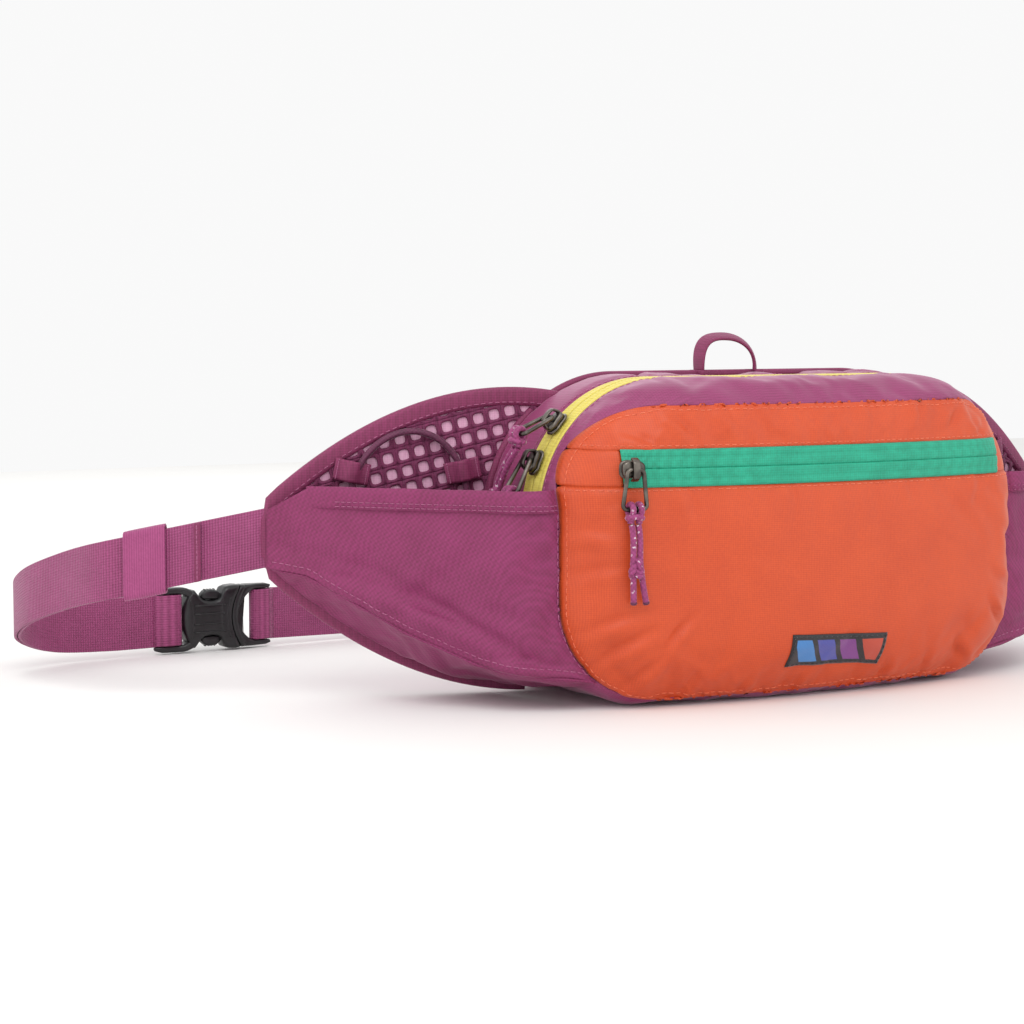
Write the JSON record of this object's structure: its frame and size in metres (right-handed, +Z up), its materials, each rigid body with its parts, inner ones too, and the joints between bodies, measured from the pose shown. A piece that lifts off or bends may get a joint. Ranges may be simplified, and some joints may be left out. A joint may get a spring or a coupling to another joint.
{
  "type": "waist pack",
  "caption": "Zipped waist pack with a bulged front pocket, padded mesh wings, side pockets, sewn webbing belt and side-release buckle.",
  "frame": {"origin": "middle of the flat underside of the body, below the zipped compartment", "axes": "+Z up; +X along the body's width towards its right end seen from the front panel; -Y out of the front panel, +Y towards the wearer and the belt"},
  "size_m": [0.5129, 0.2753, 0.1537],
  "materials": {
    "orange_ripstop": "matte",
    "plum_nylon": "matte",
    "plum_twill": "matte",
    "plum_mesh": "matte",
    "plum_binding": "matte",
    "plum_webbing": "matte",
    "plum_elastic": "matte",
    "plum_cord": "matte",
    "flecked_cord": "matte",
    "green_zip": "matte",
    "green_coil": "matte",
    "yellow_zip": "matte",
    "yellow_coil": "matte",
    "gunmetal": "satin",
    "black_acetal": "satin",
    "black_label": "matte",
    "grey_foam": "matte"
  },
  "bodies": {
    "main_body": {"front_panel_lower": "orange_ripstop", "front_panel_upper": "orange_ripstop", "front_zip_tape": "green_zip", "front_zip_garage_left": "orange_ripstop", "front_zip_garage_right": "orange_ripstop", "front_zip_coil": "green_coil", "front_pocket_bag": "plum_nylon", "front_gusset": "plum_nylon", "main_zip_tape": "yellow_zip", "main_zip_coil": "yellow_coil", "rear_gusset": "plum_nylon", "bottom_panel": "plum_nylon", "back_panel": "plum_mesh", "back_padding": "grey_foam", "inner_slip_pocket": "plum_mesh", "label_patch": "black_label", "strap_anchor_left": "plum_webbing", "strap_anchor_right": "plum_webbing", "strap_right": "plum_webbing", "buckle_male": "black_acetal", "wing_mesh_left": "plum_mesh", "wing_binding_left": "plum_binding", "pocket_panel_left": "plum_twill", "pocket_hem_left": "plum_twill", "pocket_fold_left": "plum_twill", "shock_cord_left": "plum_cord", "cord_tabs_left": "plum_binding", "wing_mesh_right": "plum_mesh", "wing_binding_right": "plum_binding", "pocket_panel_right": "plum_twill", "pocket_hem_right": "plum_twill", "pocket_fold_right": "plum_twill", "shock_cord_right": "plum_cord", "cord_tabs_right": "plum_binding"},
    "belt_left": {"strap_left": "plum_webbing", "strap_tail": "plum_webbing", "buckle_female": "black_acetal"},
    "keeper": {"strap_keeper": "plum_elastic"},
    "prong_upper": {"buckle_prong_upper": "black_acetal"},
    "prong_lower": {"buckle_prong_lower": "black_acetal"},
    "haul_loop": {"haul_loop": "plum_webbing"},
    "front_slider": {"slider_front": "gunmetal"},
    "front_ring": {"pull_ring_front": "gunmetal"},
    "front_pull": {"pull_cord_front": "flecked_cord", "pull_knots_front": "flecked_cord"},
    "upper_slider": {"slider_upper": "gunmetal"},
    "upper_ring": {"pull_ring_upper": "gunmetal"},
    "upper_pull": {"pull_cord_upper": "flecked_cord", "pull_knots_upper": "flecked_cord"},
    "lower_slider": {"slider_lower": "gunmetal"},
    "lower_ring": {"pull_ring_lower": "gunmetal"},
    "lower_pull": {"pull_cord_lower": "flecked_cord", "pull_knots_lower": "flecked_cord"}
  },
  "joints": [
    {"name": "front_zip_run", "type": "hinge", "parent": "main_body", "child": "front_slider", "pos_m": [0, 0.39425, 0.099], "axis": [0, 0, 1], "range_deg": [0, 24]},
    {"name": "front_ring_lift", "type": "hinge", "parent": "front_slider", "child": "front_ring", "pos_m": [-0.09493, -0.05237, 0.099], "axis": [-0.9781, 0.2079, 0], "range_deg": [0, 110]},
    {"name": "front_pull_swing", "type": "hinge", "parent": "front_ring", "child": "front_pull", "pos_m": [-0.0947, -0.05128, 0.08304], "axis": [-0.9781, 0.2079, 0], "range_deg": [0, 60]},
    {"name": "upper_zip_run", "type": "hinge", "parent": "main_body", "child": "upper_slider", "pos_m": [-0.061, -0.0075, 0.077], "axis": [0, 1, 0], "range_deg": [0, 49]},
    {"name": "upper_ring_lift", "type": "hinge", "parent": "upper_slider", "child": "upper_ring", "pos_m": [-0.109, -0.0075, 0.11872], "axis": [0, 1, 0], "range_deg": [0, 60]},
    {"name": "upper_pull_swing", "type": "hinge", "parent": "upper_ring", "child": "upper_pull", "pos_m": [-0.12362, -0.0075, 0.11222], "axis": [0, 1, 0], "range_deg": [0, 40]},
    {"name": "lower_zip_run", "type": "hinge", "parent": "main_body", "child": "lower_slider", "pos_m": [-0.061, -0.0075, 0.077], "axis": [0, -1, 0], "range_deg": [0, 23]},
    {"name": "lower_ring_lift", "type": "hinge", "parent": "lower_slider", "child": "lower_ring", "pos_m": [-0.11954, -0.0075, 0.10185], "axis": [0, 1, 0], "range_deg": [0, 15]},
    {"name": "lower_pull_swing", "type": "hinge", "parent": "lower_ring", "child": "lower_pull", "pos_m": [-0.1273, -0.0075, 0.08786], "axis": [0, 1, 0], "range_deg": [0, 10]},
    {"name": "haul_loop_fold", "type": "hinge", "parent": "main_body", "child": "haul_loop", "pos_m": [0, 0.024, 0.1357], "axis": [1, 0, 0], "range_deg": [-80, 80]},
    {"name": "buckle_release", "type": "slide", "parent": "main_body", "child": "belt_left", "axis": [-0.9984, -0.057, 0], "range_m": [0, 0.03]},
    {"name": "keeper_slide", "type": "slide", "parent": "belt_left", "child": "keeper", "axis": [-0.8594, 0.4707, -0.1999], "range_m": [-0.012, 0.004]},
    {"name": "prong_upper_press", "type": "hinge", "parent": "main_body", "child": "prong_upper", "pos_m": [-0.15902, 0.20704, 0.0258], "axis": [0.057, -0.9984, 0], "range_deg": [0, 7], "stiffness_Nm_per_rad": 0.4},
    {"name": "prong_lower_press", "type": "hinge", "parent": "main_body", "child": "prong_lower", "pos_m": [-0.15902, 0.20704, 0.0058], "axis": [-0.057, 0.9984, 0], "range_deg": [0, 7], "stiffness_Nm_per_rad": 0.4}
  ],
  "couplings": [
    {"joint": "prong_lower_press", "follows": "prong_upper_press", "ratio": 1}
  ]
}
